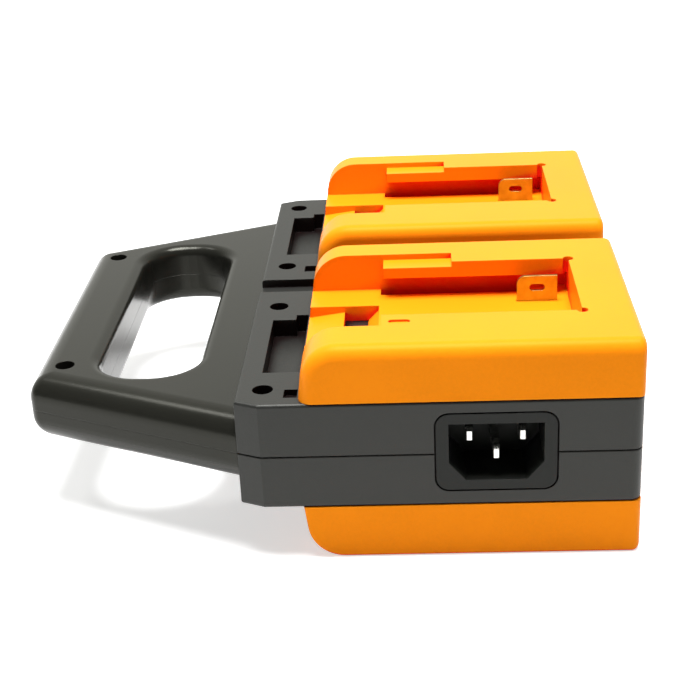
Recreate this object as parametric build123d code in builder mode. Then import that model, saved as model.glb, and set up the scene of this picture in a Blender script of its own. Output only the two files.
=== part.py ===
from build123d import *
from math import hypot, radians, tan
import os

os.makedirs("parts", exist_ok=True)

# Four-bay battery charger, lying flat. Sizes in millimetres.
# +X runs from the handle to the dock ends, +Y runs away from the mains inlet, +Z is up.

# Case shells
deck_apron = 17.0
dock_valley = 14.0
case_half = 15.4
case_wall = 2.6
case_corner_x = 6.4
case_corner_y = 2.8
case_end_round = 3.0
case_edge_round = 1.0
seam_chamfer = 0.3
rim_height = 1.6
rim_thickness = 1.2
rim_clearance = 0.15

# Handle shells
handle_half = 10.0
handle_bridge = 14.55
handle_corner = 3.85
handle_round_upper = 7.0
handle_round_lower = 7.4
handle_wall = 3.6
grip_thickness = 19.05
grip_shoulder = 0.45
finger_gap_length = 102.0
finger_gap_width = 29.0
finger_gap_flat = 2.9
gap_round_upper = 3.2
gap_round_lower = 4.6
tongue_width = 24.0
tongue_spacing = 100.0
tongue_height = 5.0
tongue_hook = 2.4
tongue_hook_length = 3.0
tongue_clearance = 0.2

# Battery docks
dock_length = 90.0
dock_height = 15.6
dock_end_slant = 1.9
dock_end_round = 10.0
dock_near_round = 3.8
dock_far_round = 0.8
dock_closed_round = 2.0
dock_near_wall = 14.5
dock_far_wall = 9.5
channel_width = 52.0
channel_depth = 11.0
channel_end_wall = 14.3
rail_overhang = 7.0
rail_thickness = 4.8
rail_start = 22.0
low_rail_length = 20.0
low_rail_drop = 1.65
corner_relief = 1.5
floor_slot_start = 21.0
floor_slot_to_end = 13.7
floor_slot_width = 4.5
catch_start = 10.6
catch_length = 10.0
catch_floor_length = 6.7
catch_lip = 1.3
catch_to_rail = 5.5
ramp_foot = 1.4
ramp_crest = 2.8
dimple_length = 5.8
dimple_width = 2.2
dimple_depth = 0.6
dimple_to_rail_start = 4.9
dimple_to_wall = 2.5

# Dock contacts
blade_length = 11.6
blade_height = 7.7
blade_thickness = 1.0
blade_to_end = 3.5
blade_to_rail = 4.4
blade_corner = 2.5
blade_eye_length = 4.4
blade_eye_width = 2.0
blade_eye_level = 4.2
tail_length = 6.0
tail_reach = 2.6
blade_clearance = 0.1
holder_end_margin = 2.4
holder_side_margin = 5.1
holder_height = 3.0
holder_clearance = 0.2
tail_window_margin = 1.0
tail_window_side = 3.4

# Deck beside the docks
latch_length = 10.4
latch_to_rail = 1.0
latch_depth = 5.3
latch_step_length = 3.6
latch_step_width = 3.4
latch_to_dock = 0.4
pocket_floor = 2.0
gutter_margin = 2.0
gutter_depth = 2.6
snap_slot_length = 3.6
snap_slot_width = 4.9
snap_slot_depth = 1.8
snap_slot_inset = 6.9

# Screws and bosses
screw_shank = 3.0
screw_head = 5.0
screw_head_height = 2.0
screw_recess_width = 2.4
screw_recess_depth = 1.2
screw_clearance = 0.1
boss_diameter = 10.0
head_bore = 5.6
deck_head_seat = 3.0
deck_screw_bite = 9.0
deck_screw_inset = 7.15
deck_screw_edge = 9.6
handle_head_seat = 3.0
handle_screw_bite = 5.5
handle_screw_inset = 9.45
handle_screw_edge = 8.25
dock_screw_first = 20.0
dock_screw_last = 10.0
dock_screw_bite = 8.0
screw_tip_room = 1.0

# Mains inlet
inlet_from_left = 68.6
inlet_rise = 0.4
inlet_lip_x = 2.05
inlet_lip_z = 1.6
inlet_flange_thickness = 1.6
inlet_flange_corner = 3.5
inlet_wall = 1.3
inlet_body_depth = 20.5
inlet_mouth_width = 25.0
inlet_mouth_height = 16.6
inlet_mouth_depth = 16.5
inlet_bevel_x = 4.5
inlet_bevel_z = 5.2
inlet_clearance = 0.2
inlet_seat_gap = 0.45
inlet_snap_width = 8.0
inlet_snap_length = 4.0
inlet_snap_rise = 1.2
pin_spacing = 14.0
pin_height = 4.0
pin_thickness = 2.0
pin_recess = 1.8
pin_taper = 1.3
pin_tip_share = 0.65
pin_level = 3.9
pin_clearance = 0.1
earth_level = -1.0
earth_advance = 1.0
tab_thickness = 0.8
tab_length = 8.0

# Circuit board and the pieces that stand on it. They form a row from the board's near end, and the
# row's gaps share the room left over. Offsets run from the board's middle line, shifts along the row
board_thickness = 1.6
board_left_gap = 11.2
board_to_inlet = 6.0
board_end_gap = 4.4
board_rise = 6.8
standoff_diameter = 7.0
board_screw_inset = 4.0
board_screw_bite = 5.0
row_gap_first = 14.32
row_gap_bridge = 3.96
row_gap_bulk = 5.04
row_gap_core = 1.84
row_gap_output = 3.44
row_gap_last = 3.8
fuse_diameter = 5.0
fuse_cap_diameter = 5.6
fuse_length = 20.0
fuse_cap_length = 5.0
fuse_offset = -13.5
choke_outer = 18.0
choke_inner = 8.0
choke_height = 8.0
choke_round = 2.0
choke_offset = -0.5
bridge_length = 15.0
bridge_thickness = 4.0
bridge_height = 11.0
bridge_key = 2.5
bridge_offset = -0.5
bulk_diameter = 14.0
bulk_height = 12.0
bulk_pitch = 16.0
bulk_bead = 0.6
bulk_offset = -5.5
sink_length = 26.0
sink_height = 12.0
sink_depth = 8.0
sink_web = 1.8
sink_fins = 6
sink_fin = 1.4
primary_sink_offset = 11.5
primary_sink_shift = 7.6
secondary_sink_offset = -11.5
secondary_sink_shift = -4.56
core_length = 26.0
core_width = 22.0
core_height = 9.0
core_side_leg = 4.0
core_middle_leg = 6.0
core_back = 4.0
winding_overhang = 3.0
winding_gap = 0.3
core_offset = -0.5
output_cans = 4
output_diameter = 8.0
output_height = 11.0
output_pitch = 10.0
output_bead = 0.4
output_offset = 2.5
bead_level = 2.5
chip_length = 10.0
chip_width = 6.2
chip_height = 1.8
chip_notch = 1.0
chip_offset = 12.0
chip_shift = -6.08

# Inner leads
dock_lead_diameter = 2.0
dock_lead_drop = 1.4
mains_lead_diameter = 2.2
mains_lead_pitch = 4.0
mains_lead_run = 7.38
mains_pad_offset = 11.5
dock_pad_inset = 4.0
bend_share = 0.45

# Places worked out from the sizes above
dock_width = channel_width + dock_near_wall + dock_far_wall
channel_offset = (dock_near_wall - dock_far_wall) / 2
channel_length = dock_length - channel_end_wall
rail_gap = channel_width - 2 * rail_overhang
latch_width = rail_gap - 2 * latch_to_rail
case_length = dock_length + deck_apron
case_width = 2 * dock_width + dock_valley
handle_reach = grip_thickness + finger_gap_width + handle_bridge
handle_root_width = case_width - 2 * case_corner_y
handle_grip_width = finger_gap_length + 2 * grip_shoulder
overall_length = case_length + handle_reach
x_right = overall_length / 2
x_case = x_right - case_length
x_handle = -overall_length / 2
x_case_mid = (x_case + x_right) / 2
z_mid = case_half + dock_height
z_deck = z_mid + case_half
z_ceiling = z_deck - case_wall
z_floor = 2 * z_mid - z_ceiling
half_width = case_width / 2
dock_left = x_right - dock_length
dock_y = (case_width - dock_width) / 2
gutter_width = dock_valley - 2 * gutter_margin
channel_floor = dock_height - channel_depth
rail_under = dock_height - rail_thickness
blade_start = channel_length - blade_to_end - blade_length
blade_mid = blade_start + blade_length / 2
blade_spacing = rail_gap - 2 * blade_to_rail
holder_length = blade_length + 2 * holder_end_margin
holder_width = blade_spacing + 2 * holder_side_margin
tail_start = blade_mid - tail_length / 2
tail_window_length = tail_length + 2 * tail_window_margin
tail_window_width = blade_spacing + 2 * tail_window_side
x_finger_gap = x_handle + grip_thickness + finger_gap_width / 2
x_inlet = x_case + inlet_from_left
z_inlet = z_mid + inlet_rise
inlet_body_width = inlet_mouth_width + 2 * inlet_wall
inlet_body_height = inlet_mouth_height + 2 * inlet_wall
inlet_flange_width = inlet_body_width + 2 * inlet_lip_x
inlet_flange_height = inlet_body_height + 2 * inlet_lip_z
z_board = z_floor + board_rise
z_board_top = z_board + board_thickness
x_board_left = x_case + case_wall + board_left_gap
board_length = x_inlet - inlet_body_width / 2 - board_to_inlet - x_board_left
board_width = case_width - 2 * (case_wall + board_end_gap)
x_board_mid = x_board_left + board_length / 2
bulk_span = bulk_pitch + bulk_diameter
output_span = (output_cans - 1) * output_pitch + output_diameter
sink_end = bulk_span / 2 + primary_sink_shift + sink_length / 2
row_length = fuse_length + bridge_thickness + sink_end + core_width + output_span
row_gaps = row_gap_first + row_gap_bridge + row_gap_bulk + row_gap_core + row_gap_output + row_gap_last
room = (board_width - row_length) / row_gaps
y_fuse = room * row_gap_first + (fuse_length - board_width) / 2
y_bridge = y_fuse + room * row_gap_bridge + (fuse_length + bridge_thickness) / 2
y_bulk = y_bridge + room * row_gap_bulk + (bridge_thickness + bulk_span) / 2
y_sink = y_bulk + primary_sink_shift
y_core = y_sink + room * row_gap_core + (sink_length + core_width) / 2
y_output = y_core + room * row_gap_output + (core_width + output_span) / 2
shank_hole = screw_shank + 2 * screw_clearance
turned_over = Location((0, 0, 2 * z_mid), (180, 0, 0))
inlet_plane = Plane(origin=(x_inlet, -half_width, z_inlet), x_dir=(1, 0, 0), z_dir=(0, -1, 0))
board_top = Plane.XY.offset(z_board_top)

both_ways = (-1, 1)
dock_rows = (-dock_y, dock_y)
deck_screw_x = x_case + deck_screw_inset
deck_screw_reach = dock_width / 2 - deck_screw_edge
deck_screw_points = [(deck_screw_x, y + s * deck_screw_reach) for y in dock_rows for s in both_ways]
handle_screw_reach = handle_grip_width / 2 - handle_screw_edge
handle_screw_points = [(x_handle + handle_screw_inset, s * handle_screw_reach) for s in both_ways]
# Dock screws stand midway between the case wall and the channel
dock_screw_edge = (case_wall + screw_head / 2 + dock_far_wall - shank_hole / 2) / 2
dock_screw_reach = dock_width / 2 - dock_screw_edge
dock_screw_points = [
    (u, s * dock_screw_reach) for u in (dock_screw_first, dock_length - dock_screw_last) for s in both_ways
]
deck_hole_points = [(dock_left + u, y + v) for y in dock_rows for u, v in dock_screw_points]
standoff_reach = (board_length / 2 - board_screw_inset, board_width / 2 - board_screw_inset)
standoff_points = [
    (x_board_mid + i * standoff_reach[0], j * standoff_reach[1]) for i in both_ways for j in both_ways
]
blade_rows = [channel_offset + s * blade_spacing / 2 for s in both_ways]
dock_places = {
    "top_front": Location((dock_left, -dock_y, z_deck)),
    "top_rear": Location((dock_left, dock_y, z_deck)),
    "bottom_front": turned_over * Location((dock_left, dock_y, z_deck)),
    "bottom_rear": turned_over * Location((dock_left, -dock_y, z_deck)),
}


def case_face(inset=0.0, mode=Mode.ADD):
    """Plan of the case drawn in from its wall: corner cuts at the handle, round corners at the far end."""
    cut = hypot(case_corner_x, case_corner_y)
    side = half_width - inset
    left_y = half_width - case_corner_y - inset * (cut - case_corner_y) / case_corner_x
    corner_x = x_case + case_corner_x + inset * (cut - case_corner_x) / case_corner_y
    end_round = max(case_end_round - inset, case_end_round / 10)
    rear = [(x_case + inset, left_y), (corner_x, side), (x_right - inset, side)]
    front = [(x, -y) for x, y in reversed(rear)]
    with BuildLine() as outline:
        FilletPolyline(*rear, *front, radius=[0, 0, end_round, end_round, 0, 0], close=True)
    make_face(outline.edges(), mode=mode)


def handle_face(inset=0.0):
    """Plan of the handle: a trapezoid that narrows to the grip, less the round-cornered finger gap."""
    slope = (handle_root_width - handle_grip_width) / 2 / handle_reach
    shift = inset * hypot(1, slope)
    root = handle_root_width / 2 - slope * inset - shift
    grip = handle_grip_width / 2 + slope * inset - shift
    bend = max(handle_corner - inset, handle_corner / 10)
    rear = [(x_case - inset, root), (x_handle + inset, grip)]
    front = [(x, -y) for x, y in reversed(rear)]
    with BuildLine() as outline:
        FilletPolyline(*rear, *front, radius=[0, bend, bend, 0], close=True)
    make_face(outline.edges())
    with Locations((x_finger_gap, 0)):
        RectangleRounded(
            finger_gap_width + 2 * inset,
            finger_gap_length + 2 * inset,
            (finger_gap_width - finger_gap_flat) / 2 + inset,
            mode=Mode.SUBTRACT,
        )


def wall_openings():
    """Cut the inlet's seat in the near wall and the handle's tongue slots in the left wall."""
    with BuildSketch(inlet_plane) as seat:
        RectangleRounded(
            inlet_flange_width + 2 * inlet_seat_gap,
            inlet_flange_height + 2 * inlet_seat_gap,
            inlet_flange_corner + inlet_seat_gap,
        )
    extrude(seat.sketch, amount=-inlet_flange_thickness, mode=Mode.SUBTRACT)
    with BuildSketch(inlet_plane) as hole:
        Rectangle(inlet_body_width + 2 * inlet_clearance, inlet_body_height + 2 * inlet_clearance)
    extrude(hole.sketch, amount=-case_wall, mode=Mode.SUBTRACT)
    with BuildSketch(Plane.YZ.offset(x_case)) as slots:
        with Locations((-tongue_spacing / 2, z_mid), (tongue_spacing / 2, z_mid)):
            Rectangle(tongue_width + 2 * tongue_clearance, 2 * (tongue_height + tongue_clearance))
    extrude(slots.sketch, amount=case_wall, mode=Mode.SUBTRACT)


def can_face(diameter, height, bead):
    """Half section of a round can with a pressed bead near its foot."""
    with BuildLine() as outline:
        Polyline(
            (0, 0),
            (diameter / 2, 0),
            (diameter / 2, bead_level - bead),
            (diameter / 2 - bead, bead_level),
            (diameter / 2, bead_level + bead),
            (diameter / 2, height - bead),
            (diameter / 2 - bead, height),
            (0, height),
            close=True,
        )
    make_face(outline.edges())


def screw_face(shank_length):
    """Half section of a pan screw standing head up, seated at the origin."""
    with BuildLine() as outline:
        Polyline(
            (0, -shank_length),
            (screw_shank / 3, -shank_length),
            (screw_shank / 2, screw_shank / 3 - shank_length),
            (screw_shank / 2, 0),
            (screw_head / 2, 0),
            (screw_head / 2, screw_head_height / 2),
            (screw_head / 3, screw_head_height),
            (0, screw_head_height),
            close=True,
        )
    make_face(outline.edges())


def bend_radii(points):
    """Radius of each corner of a lead: a fixed share of the shorter run beside it."""
    radii = []
    for before, here, after in zip(points, points[1:], points[2:]):
        arriving = Vector(*here) - Vector(*before)
        leaving = Vector(*after) - Vector(*here)
        half_turn = radians(arriving.get_angle(leaving)) / 2
        radii.append(bend_share * min(arriving.length, leaving.length) / tan(half_turn))
    return radii


def finish(builder, label):
    """Label a finished piece and write it."""
    builder.part.label = label
    export_step(builder.part, f"parts/{label}.step")


# Case shell shared by both halves, drawn as the upper one
latch_x = dock_left - latch_to_dock - latch_length / 2
step_x = dock_left - latch_to_dock - latch_step_length / 2
snap_x = dock_left - latch_to_dock - snap_slot_length / 2
with BuildPart() as case_blank:
    with BuildSketch(Plane.XY.offset(z_mid)):
        case_face()
    extrude(amount=case_half)
    fillet(case_blank.faces().sort_by(Axis.Z)[-1].edges(), case_edge_round)
    chamfer(case_blank.faces().sort_by(Axis.Z)[0].edges(), seam_chamfer)
    with BuildSketch(Plane.XY.offset(z_mid)):
        case_face(case_wall)
    extrude(amount=case_half - case_wall, mode=Mode.SUBTRACT)
    # Backs of the latch pockets and of the gutter between the docks
    with BuildSketch(Plane.XY.offset(z_deck - latch_depth - pocket_floor)):
        with Locations(*[(latch_x, y) for y in dock_rows]):
            Rectangle(latch_length + 2 * pocket_floor, latch_width + 2 * pocket_floor)
        with Locations(*[(step_x, y + latch_width / 2) for y in dock_rows]):
            Rectangle(latch_step_length + 2 * pocket_floor, 2 * (latch_step_width + pocket_floor))
    extrude(amount=latch_depth + pocket_floor - case_wall / 2)
    with BuildSketch(Plane.XY.offset(z_deck - gutter_depth - pocket_floor)):
        with Locations((x_case_mid, 0)):
            Rectangle(case_length - case_wall, gutter_width + 2 * pocket_floor)
    extrude(amount=gutter_depth + pocket_floor - case_wall / 2)
    # Latch pockets with their stepped corner
    with BuildSketch(Plane.XY.offset(z_deck)):
        with Locations(*[(latch_x, y) for y in dock_rows]):
            Rectangle(latch_length, latch_width)
        with Locations(*[(step_x, y + latch_width / 2) for y in dock_rows]):
            Rectangle(latch_step_length, 2 * latch_step_width)
    extrude(amount=-latch_depth, mode=Mode.SUBTRACT)
    # Gutter along the valley between the docks
    with BuildSketch(Plane.XY.offset(z_deck)):
        with Locations((x_case_mid, 0)):
            Rectangle(case_length, gutter_width)
    extrude(amount=-gutter_depth, mode=Mode.SUBTRACT)
    # Snap slot at the near foot of each dock
    with BuildSketch(Plane.XY.offset(z_deck)):
        with Locations(*[(snap_x, y - dock_width / 2 + snap_slot_inset) for y in dock_rows]):
            Rectangle(snap_slot_length, snap_slot_width)
    extrude(amount=-snap_slot_depth, mode=Mode.SUBTRACT)
    # Windows for the contact tails and holes for the dock screws
    with BuildSketch(Plane.XY.offset(z_deck)):
        with Locations(*[(dock_left + blade_mid, y + channel_offset) for y in dock_rows]):
            Rectangle(tail_window_length, tail_window_width)
        with Locations(*deck_hole_points):
            Circle(shank_hole / 2)
    extrude(amount=-case_wall, mode=Mode.SUBTRACT)

with BuildPart() as case_upper:
    add(case_blank.part)
    with BuildSketch(Plane.XY.offset(z_mid)):
        with Locations(*deck_screw_points):
            Circle(boss_diameter / 2)
    extrude(amount=case_half - case_wall / 2)
    with Locations(*[(x, y, z_deck) for x, y in deck_screw_points]):
        CounterBoreHole(shank_hole / 2, head_bore / 2, case_half - deck_head_seat, case_half)
    with BuildSketch(Plane.XY.offset(z_mid)):
        case_face(case_wall - rim_thickness - rim_clearance)
        case_face(case_wall, mode=Mode.SUBTRACT)
    extrude(amount=rim_height + rim_clearance, mode=Mode.SUBTRACT)
    wall_openings()
finish(case_upper, "case_upper")

with BuildPart() as case_lower:
    add(turned_over * case_blank.part)
    with BuildSketch(Plane.XY.offset(z_mid)):
        case_face(case_wall - rim_thickness)
        case_face(case_wall, mode=Mode.SUBTRACT)
    extrude(amount=rim_height)
    with BuildSketch(Plane.XY.offset(z_mid)):
        with Locations(*deck_screw_points):
            Circle(boss_diameter / 2)
            Circle(shank_hole / 2, mode=Mode.SUBTRACT)
    extrude(amount=-(case_half - case_wall / 2))
    with BuildSketch(Plane.XY.offset(z_board)):
        with Locations(*standoff_points):
            Circle(standoff_diameter / 2)
            Circle(shank_hole / 2, mode=Mode.SUBTRACT)
    extrude(amount=-(board_rise + case_wall / 2))
    wall_openings()
finish(case_lower, "case_lower")

# Handle shell shared by both halves, drawn as the upper one
tongue_x = x_case + case_wall + tongue_clearance
with BuildPart() as handle_blank:
    with BuildSketch(Plane.XY.offset(z_mid)):
        handle_face()
    extrude(amount=handle_half)
    with BuildSketch(Plane.XY.offset(z_mid)):
        handle_face(handle_wall)
    extrude(amount=handle_half - handle_wall, mode=Mode.SUBTRACT)
    # Hooked tongues that the case shells close over
    with BuildSketch(*[Plane.XZ.offset(s * tongue_spacing / 2) for s in both_ways]):
        with BuildLine():
            Polyline(
                (x_case - handle_wall / 2, z_mid),
                (x_case - handle_wall / 2, z_mid + tongue_height),
                (tongue_x, z_mid + tongue_height),
                (tongue_x, z_mid + tongue_height + tongue_hook),
                (tongue_x + tongue_hook_length, z_mid + tongue_height),
                (tongue_x + tongue_hook_length, z_mid),
                close=True,
            )
        make_face()
    extrude(amount=tongue_width / 2, both=True)

with BuildPart() as handle_upper:
    add(handle_blank.part)
    top_rim = handle_upper.faces().sort_by(Axis.Z)[-1].outer_wire().edges()
    fillet(top_rim.sort_by(Axis.X)[:-1], handle_round_upper)
    fillet(handle_upper.faces().sort_by(Axis.Z)[-1].inner_wires()[0].edges(), gap_round_upper)
    with BuildSketch(Plane.XY.offset(z_mid)):
        with Locations(*handle_screw_points):
            Circle(boss_diameter / 2)
    extrude(amount=handle_half - handle_wall / 2)
    with Locations(*[(x, y, z_mid + handle_half) for x, y in handle_screw_points]):
        CounterBoreHole(shank_hole / 2, head_bore / 2, handle_half - handle_head_seat, handle_half)
finish(handle_upper, "handle_upper")

with BuildPart() as handle_lower:
    add(turned_over * handle_blank.part)
    low_rim = handle_lower.faces().sort_by(Axis.Z)[0].outer_wire().edges()
    fillet(low_rim.sort_by(Axis.X)[:-1], handle_round_lower)
    fillet(handle_lower.faces().sort_by(Axis.Z)[0].inner_wires()[0].edges(), gap_round_lower)
    with BuildSketch(Plane.XY.offset(z_mid)):
        with Locations(*handle_screw_points):
            Circle(boss_diameter / 2)
            Circle(shank_hole / 2, mode=Mode.SUBTRACT)
    extrude(amount=-(handle_half - handle_wall / 2))
finish(handle_lower, "handle_lower")

# Battery dock, drawn with its left end at the origin and its underside on the deck
with BuildPart() as dock_blank:
    with BuildSketch(Plane.XZ):
        with BuildLine():
            FilletPolyline(
                (0, 0),
                (dock_length, 0),
                (dock_length, dock_height),
                (dock_end_slant, dock_height),
                radius=[0, 0, 0, dock_end_round],
                close=True,
            )
        make_face()
    extrude(amount=dock_width / 2, both=True)
    # Broad round along the near side, a fine one along the far side, then the closed end
    for side, radius in ((0, dock_near_round), (-1, dock_far_round)):
        raised = dock_blank.edges().filter_by(lambda e: e.center().Z > dock_far_round)
        along = raised.filter_by(lambda e: e.center().X < dock_length - dock_far_round)
        fillet(along.group_by(Axis.Y)[side], radius)
    closed_end = dock_blank.faces().sort_by(Axis.X)[-1].edges()
    fillet(closed_end.filter_by(lambda e: e.center().Z > dock_far_round), dock_closed_round)
    # Entry, then the wide cut under the rails, then the cut between the rails
    with BuildSketch(Plane.XY.offset(channel_floor)):
        with Locations((0, channel_offset)):
            Rectangle(rail_start, channel_width, align=(Align.MIN, Align.CENTER))
    extrude(amount=channel_depth, mode=Mode.SUBTRACT)
    with BuildSketch(Plane.XY.offset(channel_floor)):
        with Locations((0, channel_offset)):
            Rectangle(channel_length, channel_width, align=(Align.MIN, Align.CENTER))
    extrude(amount=rail_under - channel_floor, mode=Mode.SUBTRACT)
    with BuildSketch(Plane.XY.offset(channel_floor)):
        with Locations((0, channel_offset)):
            Rectangle(channel_length, rail_gap, align=(Align.MIN, Align.CENTER))
        with Locations(*[(channel_length, channel_offset + s * rail_gap / 2) for s in both_ways]):
            Circle(corner_relief)
    extrude(amount=channel_depth, mode=Mode.SUBTRACT)
    # Lower stretch at the start of the far rail
    with BuildSketch(Plane.XY.offset(dock_height)):
        with Locations((rail_start, channel_offset + rail_gap / 2)):
            Rectangle(low_rail_length, rail_overhang, align=(Align.MIN, Align.MIN))
    extrude(amount=-low_rail_drop, mode=Mode.SUBTRACT)
    # Through slots under the rails
    slot_length = channel_length - floor_slot_to_end - floor_slot_start
    slot_y = (channel_width - floor_slot_width) / 2
    with BuildSketch(Plane.XY):
        with Locations(*[(floor_slot_start, channel_offset + s * slot_y) for s in both_ways]):
            Rectangle(slot_length, floor_slot_width, align=(Align.MIN, Align.CENTER))
    extrude(amount=channel_floor, mode=Mode.SUBTRACT)
    # Latch catch: a ramp that rises to its edge, and a well whose far wall slopes out
    with BuildSketch(Plane.XZ.offset(-channel_offset)):
        with BuildLine():
            Polyline(
                (0, ramp_foot),
                (catch_start, ramp_crest),
                (catch_start, 0),
                (catch_start + catch_floor_length, 0),
                (catch_start + catch_length, channel_floor - catch_lip),
                (catch_start + catch_length, channel_floor),
                (0, channel_floor),
                close=True,
            )
        make_face()
    extrude(amount=rail_gap / 2 - catch_to_rail, both=True, mode=Mode.SUBTRACT)
    # Seat of the contact holder, slots for the blades and pilot holes for the screws from below
    with BuildSketch(Plane.XY):
        with Locations((blade_mid, channel_offset)):
            Rectangle(holder_length + 2 * holder_clearance, holder_width + 2 * holder_clearance)
    extrude(amount=holder_height, mode=Mode.SUBTRACT)
    with BuildSketch(Plane.XY):
        with Locations(*[(blade_mid, v) for v in blade_rows]):
            Rectangle(blade_length + 2 * blade_clearance, blade_thickness + 2 * blade_clearance)
    extrude(amount=channel_floor, mode=Mode.SUBTRACT)
    with BuildSketch(Plane.XY):
        with Locations(*dock_screw_points):
            Circle(shank_hole / 2)
    extrude(amount=dock_screw_bite + screw_tip_room, mode=Mode.SUBTRACT)

# Plate on the deck that holds the two blades of a dock upright
with BuildPart() as holder_blank:
    with BuildSketch(Plane.XY):
        with Locations((blade_mid, channel_offset)):
            Rectangle(holder_length, holder_width)
        with Locations(*[(blade_mid, v) for v in blade_rows]):
            Rectangle(
                blade_length + 2 * blade_clearance,
                blade_thickness + 2 * blade_clearance,
                mode=Mode.SUBTRACT,
            )
    extrude(amount=holder_height)

# Pair of contact blades with a lead tail through the deck
with BuildPart() as blades_blank:
    with BuildSketch(*[Plane.XZ.offset(-v) for v in blade_rows]):
        with BuildLine():
            FilletPolyline(
                (blade_start, 0),
                (blade_start, channel_floor + blade_height),
                (blade_start + blade_length, channel_floor + blade_height),
                (blade_start + blade_length, 0),
                (tail_start + tail_length, 0),
                (tail_start + tail_length, -case_wall - tail_reach),
                (tail_start, -case_wall - tail_reach),
                (tail_start, 0),
                radius=[0, blade_corner, 0, 0, 0, 0, 0, 0],
                close=True,
            )
        make_face()
        with Locations((blade_mid, channel_floor + blade_eye_level)):
            SlotOverall(blade_eye_length, blade_eye_width, mode=Mode.SUBTRACT)
    extrude(amount=blade_thickness / 2, both=True)

dimple_x = rail_start + dimple_to_rail_start
dimple_y = channel_offset - channel_width / 2 + dimple_to_wall
for row, place in dock_places.items():
    with BuildPart() as dock:
        add(place * dock_blank.part)
        # Shallow dimple in the near rail of one dock only
        if row == "top_front":
            with BuildSketch(Plane(place * Location((dimple_x, dimple_y, dock_height)))):
                SlotOverall(dimple_length, dimple_width)
            extrude(amount=-dimple_depth, mode=Mode.SUBTRACT)
    finish(dock, f"dock_{row}")
    with BuildPart() as holder:
        add(place * holder_blank.part)
    finish(holder, f"contact_holder_{row}")
    with BuildPart() as blades:
        add(place * blades_blank.part)
    finish(blades, f"contact_blades_{row}")

# Mains inlet shell: flange, body, snap wedges behind the wall, mouth with two cut corners
pin_places = {
    "line": (-pin_spacing / 2, pin_level),
    "earth": (0, earth_level),
    "neutral": (pin_spacing / 2, pin_level),
}
snap_y = inlet_clearance + case_wall - half_width
with BuildPart() as inlet_shell:
    with BuildSketch(inlet_plane):
        RectangleRounded(inlet_flange_width, inlet_flange_height, inlet_flange_corner)
    extrude(amount=-inlet_flange_thickness)
    with BuildSketch(inlet_plane):
        Rectangle(inlet_body_width, inlet_body_height)
    extrude(amount=-inlet_body_depth)
    with BuildSketch(Plane.XY.offset(z_inlet)):
        with BuildLine():
            Polyline(
                (x_inlet - inlet_body_width / 2 - inlet_snap_rise, snap_y),
                (x_inlet + inlet_body_width / 2 + inlet_snap_rise, snap_y),
                (x_inlet + inlet_body_width / 2, snap_y + inlet_snap_length),
                (x_inlet - inlet_body_width / 2, snap_y + inlet_snap_length),
                close=True,
            )
        make_face()
    extrude(amount=inlet_snap_width / 2, both=True)
    with BuildSketch(inlet_plane):
        with BuildLine():
            Polyline(
                (-inlet_mouth_width / 2, inlet_mouth_height / 2),
                (-inlet_mouth_width / 2, inlet_bevel_z - inlet_mouth_height / 2),
                (inlet_bevel_x - inlet_mouth_width / 2, -inlet_mouth_height / 2),
                (inlet_mouth_width / 2 - inlet_bevel_x, -inlet_mouth_height / 2),
                (inlet_mouth_width / 2, inlet_bevel_z - inlet_mouth_height / 2),
                (inlet_mouth_width / 2, inlet_mouth_height / 2),
                close=True,
            )
        make_face()
    extrude(amount=-inlet_mouth_depth, mode=Mode.SUBTRACT)
    with BuildSketch(inlet_plane):
        with Locations(*pin_places.values()):
            Rectangle(pin_thickness + 2 * pin_clearance, pin_height + 2 * pin_clearance)
    extrude(amount=-inlet_body_depth, mode=Mode.SUBTRACT)
finish(inlet_shell, "inlet_shell")

for name, (u, v) in pin_places.items():
    tip = pin_recess - (earth_advance if name == "earth" else 0)
    with BuildPart() as pin:
        with BuildSketch(inlet_plane.offset(-tip)):
            with Locations((u, v)):
                Rectangle(pin_tip_share * pin_thickness, pin_tip_share * pin_height)
        with BuildSketch(inlet_plane.offset(-tip - pin_taper)):
            with Locations((u, v)):
                Rectangle(pin_thickness, pin_height)
        loft()
        with BuildSketch(inlet_plane.offset(-tip - pin_taper)):
            with Locations((u, v)):
                Rectangle(pin_thickness, pin_height)
        extrude(amount=tip + pin_taper - inlet_body_depth)
        with BuildSketch(inlet_plane.offset(-inlet_body_depth)):
            with Locations((u, v)):
                Rectangle(tab_thickness, pin_height)
        extrude(amount=-tab_length)
    finish(pin, f"inlet_pin_{name}")

# Circuit board
with BuildPart() as circuit_board:
    with BuildSketch(Plane.XY.offset(z_board)):
        with Locations((x_board_mid, 0)):
            Rectangle(board_length, board_width)
        with Locations(*standoff_points):
            Circle(shank_hole / 2, mode=Mode.SUBTRACT)
    extrude(amount=board_thickness)
finish(circuit_board, "circuit_board")

fuse_x = x_board_mid + fuse_offset
fuse_z = z_board_top + fuse_cap_diameter / 2
cap_reach = (fuse_length - fuse_cap_length) / 2
with BuildPart() as fuse:
    with BuildSketch(Plane.XZ.offset(-y_fuse)):
        with Locations((fuse_x, fuse_z)):
            Circle(fuse_diameter / 2)
    extrude(amount=fuse_length / 2, both=True)
    with BuildSketch(*[Plane.XZ.offset(-y_fuse - s * cap_reach) for s in both_ways]):
        with Locations((fuse_x, fuse_z)):
            Circle(fuse_cap_diameter / 2)
    extrude(amount=fuse_cap_length / 2, both=True)
finish(fuse, "fuse")

with BuildPart() as filter_choke:
    with BuildSketch(board_top):
        with Locations((x_board_mid + choke_offset, y_fuse)):
            Circle(choke_outer / 2)
            Circle(choke_inner / 2, mode=Mode.SUBTRACT)
    extrude(amount=choke_height)
    fillet(filter_choke.edges().filter_by(GeomType.CIRCLE), choke_round)
finish(filter_choke, "filter_choke")

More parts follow.
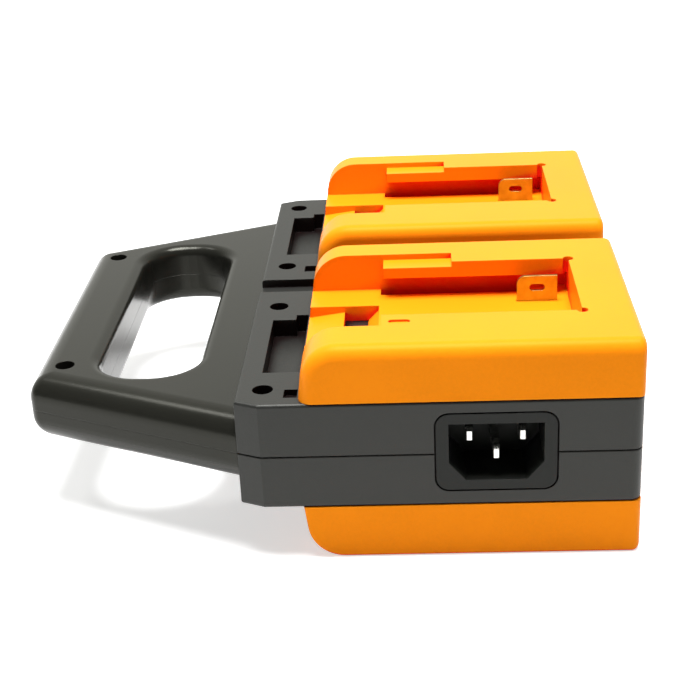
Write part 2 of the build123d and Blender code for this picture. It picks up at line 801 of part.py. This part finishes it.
with BuildPart() as bridge_rectifier:
    with BuildSketch(board_top):
        with Locations((x_board_mid + bridge_offset, y_bridge)):
            Rectangle(bridge_length, bridge_thickness)
    extrude(amount=bridge_height)
    chamfer(bridge_rectifier.edges().filter_by(Axis.Y).group_by(Axis.Z)[-1].sort_by(Axis.X)[-1], bridge_key)
finish(bridge_rectifier, "bridge_rectifier")

with BuildPart() as bulk_can:
    with BuildSketch(Plane.XZ):
        can_face(bulk_diameter, bulk_height, bulk_bead)
    revolve(axis=Axis.Z)

with BuildPart() as bulk_capacitors:
    for s in both_ways:
        can_y = y_bulk + s * bulk_pitch / 2
        add(Location((x_board_mid + bulk_offset, can_y, z_board_top)) * bulk_can.part)
finish(bulk_capacitors, "bulk_capacitors")

with BuildPart() as output_can:
    with BuildSketch(Plane.XZ):
        can_face(output_diameter, output_height, output_bead)
    revolve(axis=Axis.Z)

with BuildPart() as output_capacitors:
    for i in range(output_cans):
        can_y = y_output + (output_diameter - output_span) / 2 + i * output_pitch
        add(Location((x_board_mid + output_offset, can_y, z_board_top)) * output_can.part)
finish(output_capacitors, "output_capacitors")

# Comb-shaped heat sinks
with BuildPart() as sink_blank:
    with BuildSketch(Plane.XY):
        with Locations((-sink_depth / 2, 0)):
            Rectangle(sink_web, sink_length, align=(Align.MIN, Align.CENTER))
        with GridLocations(0, (sink_length - sink_fin) / (sink_fins - 1), 1, sink_fins):
            Rectangle(sink_depth, sink_fin)
    extrude(amount=sink_height)

sink_places = {
    "primary": (x_board_mid + primary_sink_offset, y_sink, z_board_top),
    "secondary": (x_board_mid + secondary_sink_offset, y_output + secondary_sink_shift, z_board_top),
}
for name, place in sink_places.items():
    with BuildPart() as sink:
        add(Location(place) * sink_blank.part)
    finish(sink, f"heat_sink_{name}")

# Transformer: a two-window core held by the winding that stands on the board
window_length = (core_length - 2 * core_side_leg - core_middle_leg) / 2
window_x = (core_middle_leg + window_length) / 2
core_x = x_board_mid + core_offset
with BuildPart() as transformer_core:
    with BuildSketch(Plane.XY.offset(z_board_top + winding_overhang)):
        with Locations((core_x, y_core)):
            Rectangle(core_length, core_width)
        with Locations(*[(core_x + s * window_x, y_core) for s in both_ways]):
            Rectangle(window_length, core_width - 2 * core_back, mode=Mode.SUBTRACT)
    extrude(amount=core_height)
finish(transformer_core, "transformer_core")

with BuildPart() as transformer_winding:
    with BuildSketch(Plane.XZ.offset(-y_core)):
        with Locations((core_x, z_board_top + winding_overhang + core_height / 2)):
            RectangleRounded(
                core_length - 2 * core_side_leg - 2 * winding_gap,
                core_height + 2 * winding_overhang,
                winding_overhang - winding_gap,
            )
            Rectangle(core_middle_leg + 2 * winding_gap, core_height + 2 * winding_gap, mode=Mode.SUBTRACT)
    extrude(amount=core_width / 2 - core_back - winding_gap, both=True)
finish(transformer_winding, "transformer_winding")

chip_x = x_board_mid + chip_offset
chip_y = y_output + chip_shift
with BuildPart() as control_chip:
    with BuildSketch(board_top):
        with Locations((chip_x, chip_y)):
            Rectangle(chip_width, chip_length)
        with Locations((chip_x, chip_y + chip_length / 2)):
            Circle(chip_notch, mode=Mode.SUBTRACT)
    extrude(amount=chip_height)
finish(control_chip, "control_chip")

# Leads from the contact tails to the board, two to a dock
upper_lead_z = z_ceiling - dock_lead_drop
lower_lead_z = z_floor + dock_lead_drop
dock_pad_x = x_board_mid + board_length / 2 - dock_pad_inset
for row, place in dock_places.items():
    on_top = row.startswith("top")
    run_z = upper_lead_z if on_top else lower_lead_z
    pad_z = z_board_top if on_top else z_board
    with BuildPart() as dock_leads:
        for v in blade_rows:
            tail = (place * Location((tail_start, v, 0))).position
            points = [(tail.X, tail.Y, run_z), (dock_pad_x, tail.Y, run_z), (dock_pad_x, tail.Y, pad_z)]
            radii = bend_radii(points)
            with BuildLine() as path:
                FilletPolyline(*points, radius=radii)
            with BuildSketch(Plane(origin=points[0], z_dir=(-1, 0, 0))):
                Circle(dock_lead_diameter / 2)
            sweep(path=path.line)
    print("dock lead bends", row, [round(r, 2) for r in radii])
    finish(dock_leads, f"dock_leads_{row}")

# Leads from the inlet tabs to the board
tab_end_y = inlet_body_depth + tab_length - half_width
mains_pad_x = x_board_mid + mains_pad_offset
for i, (name, (u, v)) in enumerate(pin_places.items()):
    lead_y = tab_end_y + mains_lead_run + i * mains_lead_pitch
    points = [
        (x_inlet + u, tab_end_y, z_inlet + v),
        (x_inlet + u, lead_y, z_inlet + v),
        (mains_pad_x, lead_y, z_inlet + v),
        (mains_pad_x, lead_y, z_board_top),
    ]
    radii = bend_radii(points)
    with BuildPart() as mains_lead:
        with BuildLine() as path:
            FilletPolyline(*points, radius=radii)
        with BuildSketch(Plane(origin=points[0], z_dir=(0, 1, 0))):
            Circle(mains_lead_diameter / 2)
        sweep(path=path.line)
    print("mains lead bends", name, [round(r, 2) for r in radii])
    finish(mains_lead, f"mains_lead_{name}")

# Screws, each kind in one piece file
with BuildPart() as deck_screw:
    with BuildSketch(Plane.XZ):
        screw_face(deck_head_seat + deck_screw_bite)
    revolve(axis=Axis.Z)
    with BuildSketch(Plane.XY.offset(screw_head_height)):
        RegularPolygon(screw_recess_width / 2, 6)
    extrude(amount=-screw_recess_depth, mode=Mode.SUBTRACT)

with BuildPart() as deck_screws:
    for x, y in deck_screw_points:
        add(Location((x, y, z_mid + deck_head_seat)) * deck_screw.part)
finish(deck_screws, "deck_screws")

with BuildPart() as handle_screw:
    with BuildSketch(Plane.XZ):
        screw_face(handle_head_seat + handle_screw_bite)
    revolve(axis=Axis.Z)
    with BuildSketch(Plane.XY.offset(screw_head_height)):
        RegularPolygon(screw_recess_width / 2, 6)
    extrude(amount=-screw_recess_depth, mode=Mode.SUBTRACT)

with BuildPart() as handle_screws:
    for x, y in handle_screw_points:
        add(Location((x, y, z_mid + handle_head_seat)) * handle_screw.part)
finish(handle_screws, "handle_screws")

with BuildPart() as dock_screw:
    with BuildSketch(Plane.XZ):
        screw_face(case_wall + dock_screw_bite)
    revolve(axis=Axis.Z)

with BuildPart() as dock_screws:
    for x, y in deck_hole_points:
        seated = Location((x, y, z_ceiling), (180, 0, 0)) * dock_screw.part
        add(seated)
        add(turned_over * seated)
finish(dock_screws, "dock_screws")

with BuildPart() as board_screw:
    with BuildSketch(Plane.XZ):
        screw_face(board_thickness + board_screw_bite)
    revolve(axis=Axis.Z)

with BuildPart() as board_screws:
    for x, y in standoff_points:
        add(Location((x, y, z_board_top)) * board_screw.part)
finish(board_screws, "board_screws")
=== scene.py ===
import math

import bpy
from mathutils import Matrix, Vector

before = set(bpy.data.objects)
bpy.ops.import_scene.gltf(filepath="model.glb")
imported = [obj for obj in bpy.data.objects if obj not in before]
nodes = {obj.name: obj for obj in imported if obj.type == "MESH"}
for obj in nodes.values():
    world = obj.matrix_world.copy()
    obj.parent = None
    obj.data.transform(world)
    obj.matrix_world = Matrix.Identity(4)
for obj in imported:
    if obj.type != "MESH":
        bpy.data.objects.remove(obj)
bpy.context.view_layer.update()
scene = bpy.context.scene
scene.view_settings.view_transform = "Standard"


def map_range(tree, value, low, high, from_low=0.0, from_high=1.0):
    """Node that takes a value from one range to another."""
    node = tree.nodes.new("ShaderNodeMapRange")
    node.inputs["From Min"].default_value = from_low
    node.inputs["From Max"].default_value = from_high
    node.inputs["To Min"].default_value = low
    node.inputs["To Max"].default_value = high
    tree.links.new(value, node.inputs["Value"])
    return node


class Shader:
    """One material's node tree, with short calls to add and join its nodes."""

    def __init__(self, name):
        self.material = bpy.data.materials.new(name)
        self.material.use_nodes = True
        self.tree = self.material.node_tree
        self.tree.nodes.clear()
        self.output = self.tree.nodes.new("ShaderNodeOutputMaterial")
        self.surface = self.tree.nodes.new("ShaderNodeBsdfPrincipled")
        self.join(self.surface.outputs["BSDF"], self.output.inputs["Surface"])
        places = self.tree.nodes.new("ShaderNodeTexCoord").outputs
        self.place = places["Object"]
        self.facing = places["Normal"]

    def join(self, source, target):
        self.tree.links.new(source, target)

    def put(self, target, value):
        """Join a socket to the target, or write a plain number or colour into it."""
        if isinstance(value, bpy.types.NodeSocket):
            self.join(value, target)
        else:
            target.default_value = value

    def feed(self, name, value):
        """Give the surface's named input a socket, a number or a colour."""
        self.put(self.surface.inputs[name], value)

    def noise(self, size, detail=3.0, roughness=0.5, stretch=(1, 1, 1)):
        """Cloudy pattern whose features are about size metres wide."""
        place = self.place
        if stretch != (1, 1, 1):
            mapping = self.tree.nodes.new("ShaderNodeMapping")
            mapping.inputs["Scale"].default_value = stretch
            self.join(self.place, mapping.inputs["Vector"])
            place = mapping.outputs["Vector"]
        node = self.tree.nodes.new("ShaderNodeTexNoise")
        node.inputs["Scale"].default_value = 1 / size
        node.inputs["Detail"].default_value = detail
        node.inputs["Roughness"].default_value = roughness
        self.join(place, node.inputs["Vector"])
        return node.outputs["Fac"]

    def span(self, value, low, high, from_low=0.0, from_high=1.0):
        """Value taken from its range to the range low to high."""
        return map_range(self.tree, value, low, high, from_low, from_high).outputs["Result"]

    def ramp(self, value, *stops):
        """Colour ramp with stops given as (position, colour)."""
        node = self.tree.nodes.new("ShaderNodeValToRGB")
        band = node.color_ramp.elements
        while len(band) < len(stops):
            band.new(0.5)
        for element, (position, colour) in zip(band, stops):
            element.position = position
            element.color = (*colour, 1)
        self.join(value, node.inputs["Fac"])
        return node.outputs["Color"]

    def mix(self, factor, first, second):
        """Blend two colours; each is a socket or a plain colour."""
        node = self.tree.nodes.new("ShaderNodeMix")
        node.data_type = "RGBA"
        self.put(node.inputs[0], factor)
        for target, colour in ((node.inputs[6], first), (node.inputs[7], second)):
            self.put(target, colour if isinstance(colour, bpy.types.NodeSocket) else (*colour, 1))
        return node.outputs[2]

    def work_out(self, operation, *values):
        """Result of a Math node's operation on sockets."""
        node = self.tree.nodes.new("ShaderNodeMath")
        node.operation = operation
        for target, value in zip(node.inputs, values):
            self.join(value, target)
        return node.outputs["Value"]

    def rounded(self, radius):
        """Surface direction with edges softened over radius metres, and a mask that is 1 along them."""
        turned, flat = 0.75, 0.995
        soft = self.tree.nodes.new("ShaderNodeBevel")
        soft.samples = 4
        soft.inputs["Radius"].default_value = radius
        plain = self.tree.nodes.new("ShaderNodeNewGeometry")
        likeness = self.tree.nodes.new("ShaderNodeVectorMath")
        likeness.operation = "DOT_PRODUCT"
        self.join(soft.outputs["Normal"], likeness.inputs[0])
        self.join(plain.outputs["Normal"], likeness.inputs[1])
        mask = self.span(likeness.outputs["Value"], 1.0, 0.0, turned, flat)
        return soft.outputs["Normal"], mask

    def openness(self, reach, low, high):
        """Mask that is 0 in deep corners and under overhangs and 1 on open faces."""
        node = self.tree.nodes.new("ShaderNodeAmbientOcclusion")
        node.samples = 16
        node.inputs["Distance"].default_value = reach
        return self.span(node.outputs["AO"], 0.0, 1.0, low, high)

    def levelness(self):
        """Mask that is 0 on upright walls and 1 on level faces."""
        upright, level = 0.4, 0.8
        axes = self.tree.nodes.new("ShaderNodeSeparateXYZ")
        self.join(self.facing, axes.inputs["Vector"])
        return self.span(self.work_out("ABSOLUTE", axes.outputs["Z"]), 0.0, 1.0, upright, level)

    def bump(self, height, strength, distance, normal=None):
        """Relief of a pattern, distance metres deep, on the surface or on the softened one given."""
        node = self.tree.nodes.new("ShaderNodeBump")
        node.inputs["Strength"].default_value = strength
        node.inputs["Distance"].default_value = distance
        self.join(height, node.inputs["Height"])
        if normal is not None:
            self.join(normal, node.inputs["Normal"])
        self.join(node.outputs["Normal"], self.surface.inputs["Normal"])


def scaled(colour, factor):
    return tuple(channel * factor for channel in colour)


def moulded_plastic(
    name, colour, roughness, grain, relief, edge_lift, specular=0.5, sheen=(1, 1, 1), painted_recess_shade=None
):
    """Cloudy colour, a fine grain, rubbed edges and, where given, painted shade: darker colour and less
    shine in recesses.
    """
    edge_width = 0.00035
    cloud_size = 0.035
    rub_size = 0.004
    rub_share = 0.45
    fleck_share = 0.4
    grain_depth = 0.0002
    painted_shade_reach = 0.014
    painted_shade_shine = 0.3
    s = Shader(name)
    normal, edges = s.rounded(edge_width)
    clouds = s.noise(cloud_size, 4.0)
    flecks = s.noise(grain, 2.0, 0.6)
    base = s.ramp(clouds, (0.3, scaled(colour, 0.93)), (0.7, scaled(colour, 1.06)))
    speckled = s.ramp(flecks, (0.25, scaled(colour, 0.92)), (0.75, scaled(colour, 1.06)))
    base = s.mix(fleck_share, base, speckled)
    rub = s.work_out("MULTIPLY", edges, s.span(s.noise(rub_size, 3.0), 0.0, 1.0, 0.35, 0.7))
    lifted = tuple(min(1.0, channel * 1.25 + edge_lift) for channel in colour)
    # Painted shade: by ambient occlusion, recesses and undersides of overhangs take the shade colour
    # and lose shine, on walls only where asked
    if painted_recess_shade is not None:
        free_of_painted_shade = s.openness(painted_shade_reach, painted_recess_shade["low"], painted_recess_shade["high"])
        if painted_recess_shade["walls_only"]:
            free_of_painted_shade = s.work_out("MAXIMUM", free_of_painted_shade, s.levelness())
        base = s.mix(free_of_painted_shade, painted_recess_shade["colour"], base)
        specular = s.span(free_of_painted_shade, painted_shade_shine * specular, specular)
    s.feed("Base Color", s.mix(s.span(rub, 0.0, rub_share), base, lifted))
    cloud_gloss = s.span(clouds, -0.04, 0.04)
    fleck_gloss = s.span(flecks, roughness - 0.05, roughness + 0.05)
    s.feed("Roughness", s.work_out("ADD", cloud_gloss, fleck_gloss))
    s.feed("Specular IOR Level", specular)
    s.feed("Specular Tint", (*sheen, 1))
    s.bump(flecks, relief, grain_depth, normal)
    return s.material


def drawn_metal(name, colour, dull, roughness, along=(1, 1, 1)):
    """Plain metal with fine drawing marks, dull patches and bright edges."""
    edge_width = 0.0002
    edge_share = 0.5
    mark_size = 0.0006
    mark_depth = 0.0001
    mark_relief = 0.12
    patch_size = 0.004
    s = Shader(name)
    normal, edges = s.rounded(edge_width)
    marks = s.noise(mark_size, 4.0, 0.6, along)
    patches = s.noise(patch_size, 4.0)
    base = s.ramp(patches, (0.3, dull), (0.65, colour))
    s.feed("Base Color", s.mix(s.span(edges, 0.0, edge_share), base, scaled(colour, 1.1)))
    s.feed("Metallic", 1.0)
    patch_gloss = s.span(patches, 0.06, -0.06)
    mark_gloss = s.span(marks, roughness - 0.06, roughness + 0.08)
    s.feed("Roughness", s.work_out("ADD", patch_gloss, mark_gloss))
    s.bump(marks, mark_relief, mark_depth, normal)
    return s.material


def laminate(name):
    """Circuit board: green mask over a faint glass weave, with paler copper runs below it."""
    weave_size = 0.0008
    weave_depth = 0.0001
    weave_relief = 0.1
    weave_share = 0.3
    s = Shader(name)
    runs = s.tree.nodes.new("ShaderNodeTexBrick")
    runs.inputs["Scale"].default_value = 60.0
    runs.inputs["Mortar Size"].default_value = 0.03
    runs.inputs["Color1"].default_value = (0.02, 0.16, 0.06, 1)
    runs.inputs["Color2"].default_value = (0.03, 0.20, 0.08, 1)
    runs.inputs["Mortar"].default_value = (0.08, 0.34, 0.14, 1)
    s.join(s.place, runs.inputs["Vector"])
    weave = s.noise(weave_size, 2.0)
    threads = s.ramp(weave, (0.3, (0.02, 0.13, 0.05)), (0.7, (0.06, 0.26, 0.10)))
    s.feed("Base Color", s.mix(weave_share, runs.outputs["Color"], threads))
    s.feed("Roughness", s.span(weave, 0.28, 0.42))
    s.bump(weave, weave_relief, weave_depth)
    return s.material


def wound_wire(name, colour, pitch):
    """Enamelled wire laid in close turns."""
    turn_depth = 0.0003
    turn_relief = 0.5
    s = Shader(name)
    wave = s.tree.nodes.new("ShaderNodeTexWave")
    wave.bands_direction = "Y"
    wave.inputs["Scale"].default_value = 1 / pitch
    wave.inputs["Distortion"].default_value = 0.6
    s.join(s.place, wave.inputs["Vector"])
    turns = wave.outputs["Fac"]
    s.feed("Base Color", s.ramp(turns, (0.1, scaled(colour, 0.35)), (0.6, colour)))
    s.feed("Metallic", 0.6)
    s.feed("Roughness", s.span(turns, 0.45, 0.25))
    s.bump(turns, turn_relief, turn_depth)
    return s.material


# Painted shade for recesses and under overhangs: its colour, and the openness from which it starts to
# give way and at which it is gone
# Red painted shade stands for orange walls lit only by each other; the dark one is painted shade in the
# black case's pockets
red_painted_shade = {"colour": (0.85, 0.035, 0.014), "low": 0.39, "high": 0.50, "walls_only": True}
dark_painted_shade = {"colour": (0.006, 0.003, 0.003), "low": 0.47, "high": 0.62, "walls_only": False}

# Plastics: colour, roughness, grain size in metres, relief of the grain, lift of rubbed edges
orange = moulded_plastic(
    "orange_plastic",
    (0.98, 0.272, 0.006),
    roughness=0.36,
    grain=0.0007,
    relief=0.05,
    edge_lift=0.02,
    specular=0.16,
    sheen=(1.0, 0.45, 0.08),
    painted_recess_shade=red_painted_shade,
)
case_black = moulded_plastic(
    "case_black_plastic",
    (0.019, 0.0195, 0.018),
    roughness=0.42,
    grain=0.0005,
    relief=0.20,
    edge_lift=0.02,
    specular=0.30,
    sheen=(1.0, 1.0, 0.95),
    painted_recess_shade=dark_painted_shade,
)
handle_black = moulded_plastic(
    "handle_black_plastic",
    (0.014, 0.014, 0.0115),
    roughness=0.22,
    grain=0.0006,
    relief=0.06,
    edge_lift=0.02,
    specular=0.21,
    sheen=(1.0, 1.0, 0.88),
)
holder_black = moulded_plastic("holder_plastic", (0.035, 0.035, 0.034), 0.5, 0.0006, 0.15, 0.01)
inlet_black = moulded_plastic(
    "inlet_plastic", (0.016, 0.017, 0.015), 0.38, 0.0006, 0.10, 0.01, specular=0.15
)
chip_black = moulded_plastic("package_plastic", (0.02, 0.02, 0.022), 0.45, 0.0003, 0.15, 0.01)
sleeve_blue = moulded_plastic("can_sleeve", (0.03, 0.04, 0.12), 0.30, 0.0008, 0.05, 0.02)
lead_red = moulded_plastic("lead_sheath_red", (0.45, 0.03, 0.02), 0.48, 0.0006, 0.08, 0.02)
lead_blue = moulded_plastic("lead_sheath_blue", (0.04, 0.08, 0.30), 0.48, 0.0006, 0.08, 0.02)
ferrite = moulded_plastic("ferrite", (0.05, 0.05, 0.052), 0.6, 0.0004, 0.25, 0.02)

# Metals: colour, dull colour, roughness, stretch of the drawing marks
brass = drawn_metal("contact_brass", (0.50, 0.43, 0.15), (0.38, 0.30, 0.09), 0.34, (1, 1, 6))
nickel = drawn_metal("pin_nickel", (0.80, 0.80, 0.78), (0.62, 0.61, 0.58), 0.24, (6, 1, 6))
black_steel = drawn_metal("blackened_steel", (0.10, 0.10, 0.10), (0.05, 0.05, 0.05), 0.42)
zinc = drawn_metal("zinc_steel", (0.66, 0.67, 0.68), (0.48, 0.48, 0.48), 0.36)
aluminium = drawn_metal("sink_aluminium", (0.78, 0.79, 0.80), (0.62, 0.63, 0.64), 0.34, (6, 6, 1))
fuse_metal = drawn_metal("fuse_caps", (0.74, 0.74, 0.72), (0.60, 0.60, 0.58), 0.22)

board_green = laminate("board_laminate")
winding = wound_wire("winding_wire", (0.72, 0.30, 0.10), 0.0011)

# Material of each node, by the first of these beginnings that its name has
looks = {
    "case": case_black,
    "handle_screws": black_steel,
    "handle": handle_black,
    "dock_leads": lead_red,
    "dock_screws": zinc,
    "dock": orange,
    "contact_holder": holder_black,
    "contact_blades": brass,
    "inlet_shell": inlet_black,
    "inlet_pin": nickel,
    "mains_lead": lead_blue,
    "circuit_board": board_green,
    "fuse": fuse_metal,
    "filter_choke": winding,
    "bridge_rectifier": chip_black,
    "bulk_capacitors": sleeve_blue,
    "output_capacitors": sleeve_blue,
    "heat_sink": aluminium,
    "transformer_core": ferrite,
    "transformer_winding": winding,
    "control_chip": chip_black,
    "deck_screws": black_steel,
    "board_screws": zinc,
}
for name, piece in nodes.items():
    look = next(material for prefix, material in looks.items() if name.startswith(prefix))
    for holder in piece.material_slots:
        holder.material = look


def white_floor():
    """Pale floor that glows where it is seen, so that it is white apart from the object's shadow."""
    half = 4.0
    drop = 0.0002
    speck_size = 0.004
    near, far = 0.3, 0.9
    near_glow, far_glow = 0.60, 0.95
    mesh = bpy.data.meshes.new("floor")
    corners = [(-half, -half, -drop), (half, -half, -drop), (half, half, -drop), (-half, half, -drop)]
    mesh.from_pydata(corners, [], [(0, 1, 2, 3)])
    floor = bpy.data.objects.new("floor", mesh)
    scene.collection.objects.link(floor)
    s = Shader("pale_floor")
    speck = s.noise(speck_size, 3.0)
    s.feed("Base Color", s.ramp(speck, (0.3, (0.73, 0.73, 0.73)), (0.7, (0.77, 0.77, 0.77))))
    s.feed("Roughness", 0.9)
    s.feed("Specular IOR Level", 0.1)
    away = s.tree.nodes.new("ShaderNodeVectorMath")
    away.operation = "LENGTH"
    s.join(s.place, away.inputs[0])
    glow = s.tree.nodes.new("ShaderNodeEmission")
    seen = s.tree.nodes.new("ShaderNodeLightPath").outputs
    rays = s.work_out("MAXIMUM", seen["Is Camera Ray"], seen["Is Transmission Ray"])
    rays = s.work_out("MAXIMUM", rays, seen["Is Glossy Ray"])
    level = s.span(away.outputs["Value"], near_glow, far_glow, near, far)
    s.join(s.work_out("MULTIPLY", rays, level), glow.inputs["Strength"])
    both = s.tree.nodes.new("ShaderNodeAddShader")
    s.join(s.surface.outputs["BSDF"], both.inputs[0])
    s.join(glow.outputs["Emission"], both.inputs[1])
    s.join(both.outputs["Shader"], s.output.inputs["Surface"])
    mesh.materials.append(s.material)


def studio_room():
    """Room that is white to the camera and lights the object dimly from before, more from behind."""
    dim, pale, white = 0.08, 0.8, 1.0
    dim_until, pale_from = -0.2, 0.5
    world = bpy.data.worlds.new("studio")
    scene.world = world
    world.use_nodes = True
    tree = world.node_tree
    tree.nodes.clear()
    seen = tree.nodes.new("ShaderNodeLightPath").outputs
    axes = tree.nodes.new("ShaderNodeSeparateXYZ")
    tree.links.new(tree.nodes.new("ShaderNodeTexCoord").outputs["Generated"], axes.inputs["Vector"])
    fade = map_range(tree, axes.outputs["Y"], dim, pale, dim_until, pale_from)
    backdrop = map_range(tree, seen["Is Glossy Ray"], pale, white)
    tree.links.new(backdrop.outputs["Result"], fade.inputs["To Max"])
    light = tree.nodes.new("ShaderNodeBackground")
    light.inputs["Color"].default_value = (1.0, 1.0, 0.93, 1)
    tree.links.new(fade.outputs["Result"], light.inputs["Strength"])
    background = tree.nodes.new("ShaderNodeBackground")
    background.inputs["Color"].default_value = (1, 1, 1, 1)
    background.inputs["Strength"].default_value = white
    rays = tree.nodes.new("ShaderNodeMath")
    rays.operation = "MAXIMUM"
    tree.links.new(seen["Is Camera Ray"], rays.inputs[0])
    tree.links.new(seen["Is Transmission Ray"], rays.inputs[1])
    either = tree.nodes.new("ShaderNodeMixShader")
    tree.links.new(rays.outputs["Value"], either.inputs["Fac"])
    tree.links.new(light.outputs["Background"], either.inputs[1])
    tree.links.new(background.outputs["Background"], either.inputs[2])
    output = tree.nodes.new("ShaderNodeOutputWorld")
    tree.links.new(either.outputs["Shader"], output.inputs["Surface"])


def soft_lamp(name, place, size, energy):
    """Round lamp that faces the middle of the object."""
    middle = Vector((0.0, 0.0, 0.04))
    data = bpy.data.lights.new(name, "AREA")
    data.shape = "DISK"
    data.size = size
    data.energy = energy
    lamp = bpy.data.objects.new(name, data)
    scene.collection.objects.link(lamp)
    lamp.location = place
    lamp.rotation_euler = (middle - Vector(place)).to_track_quat("-Z", "Y").to_euler()


def photo_camera():
    """Camera at the photograph's place: distance and angles fitted to the object's edges."""
    place = Vector((0.02753, -0.41819, 0.21524))
    elevation, azimuth, roll = (math.radians(angle) for angle in (24.57, -3.12, -2.75))
    sensor_width = 36.0
    focal_pixels, picture_pixels = 1450, 700
    level = math.cos(elevation)
    ahead = Vector((math.sin(azimuth) * level, math.cos(azimuth) * level, -math.sin(elevation)))
    level_right = ahead.cross(Vector((0, 0, 1))).normalized()
    level_up = level_right.cross(ahead)
    right = math.cos(roll) * level_right + math.sin(roll) * level_up
    up = math.cos(roll) * level_up - math.sin(roll) * level_right
    lens = bpy.data.cameras.new("camera")
    lens.sensor_width = sensor_width
    lens.lens = sensor_width * focal_pixels / picture_pixels
    lens.clip_start = 0.01
    camera = bpy.data.objects.new("camera", lens)
    scene.collection.objects.link(camera)
    turn = Matrix((right, up, -ahead)).transposed().to_4x4()
    camera.matrix_world = Matrix.Translation(place) @ turn
    scene.camera = camera


white_floor()
studio_room()
soft_lamp("top_lamp", (0.0, -0.04, 0.95), size=0.5, energy=17.8)
soft_lamp("left_lamp", (-0.54, 0.06, 0.95), size=0.25, energy=1.6)
photo_camera()
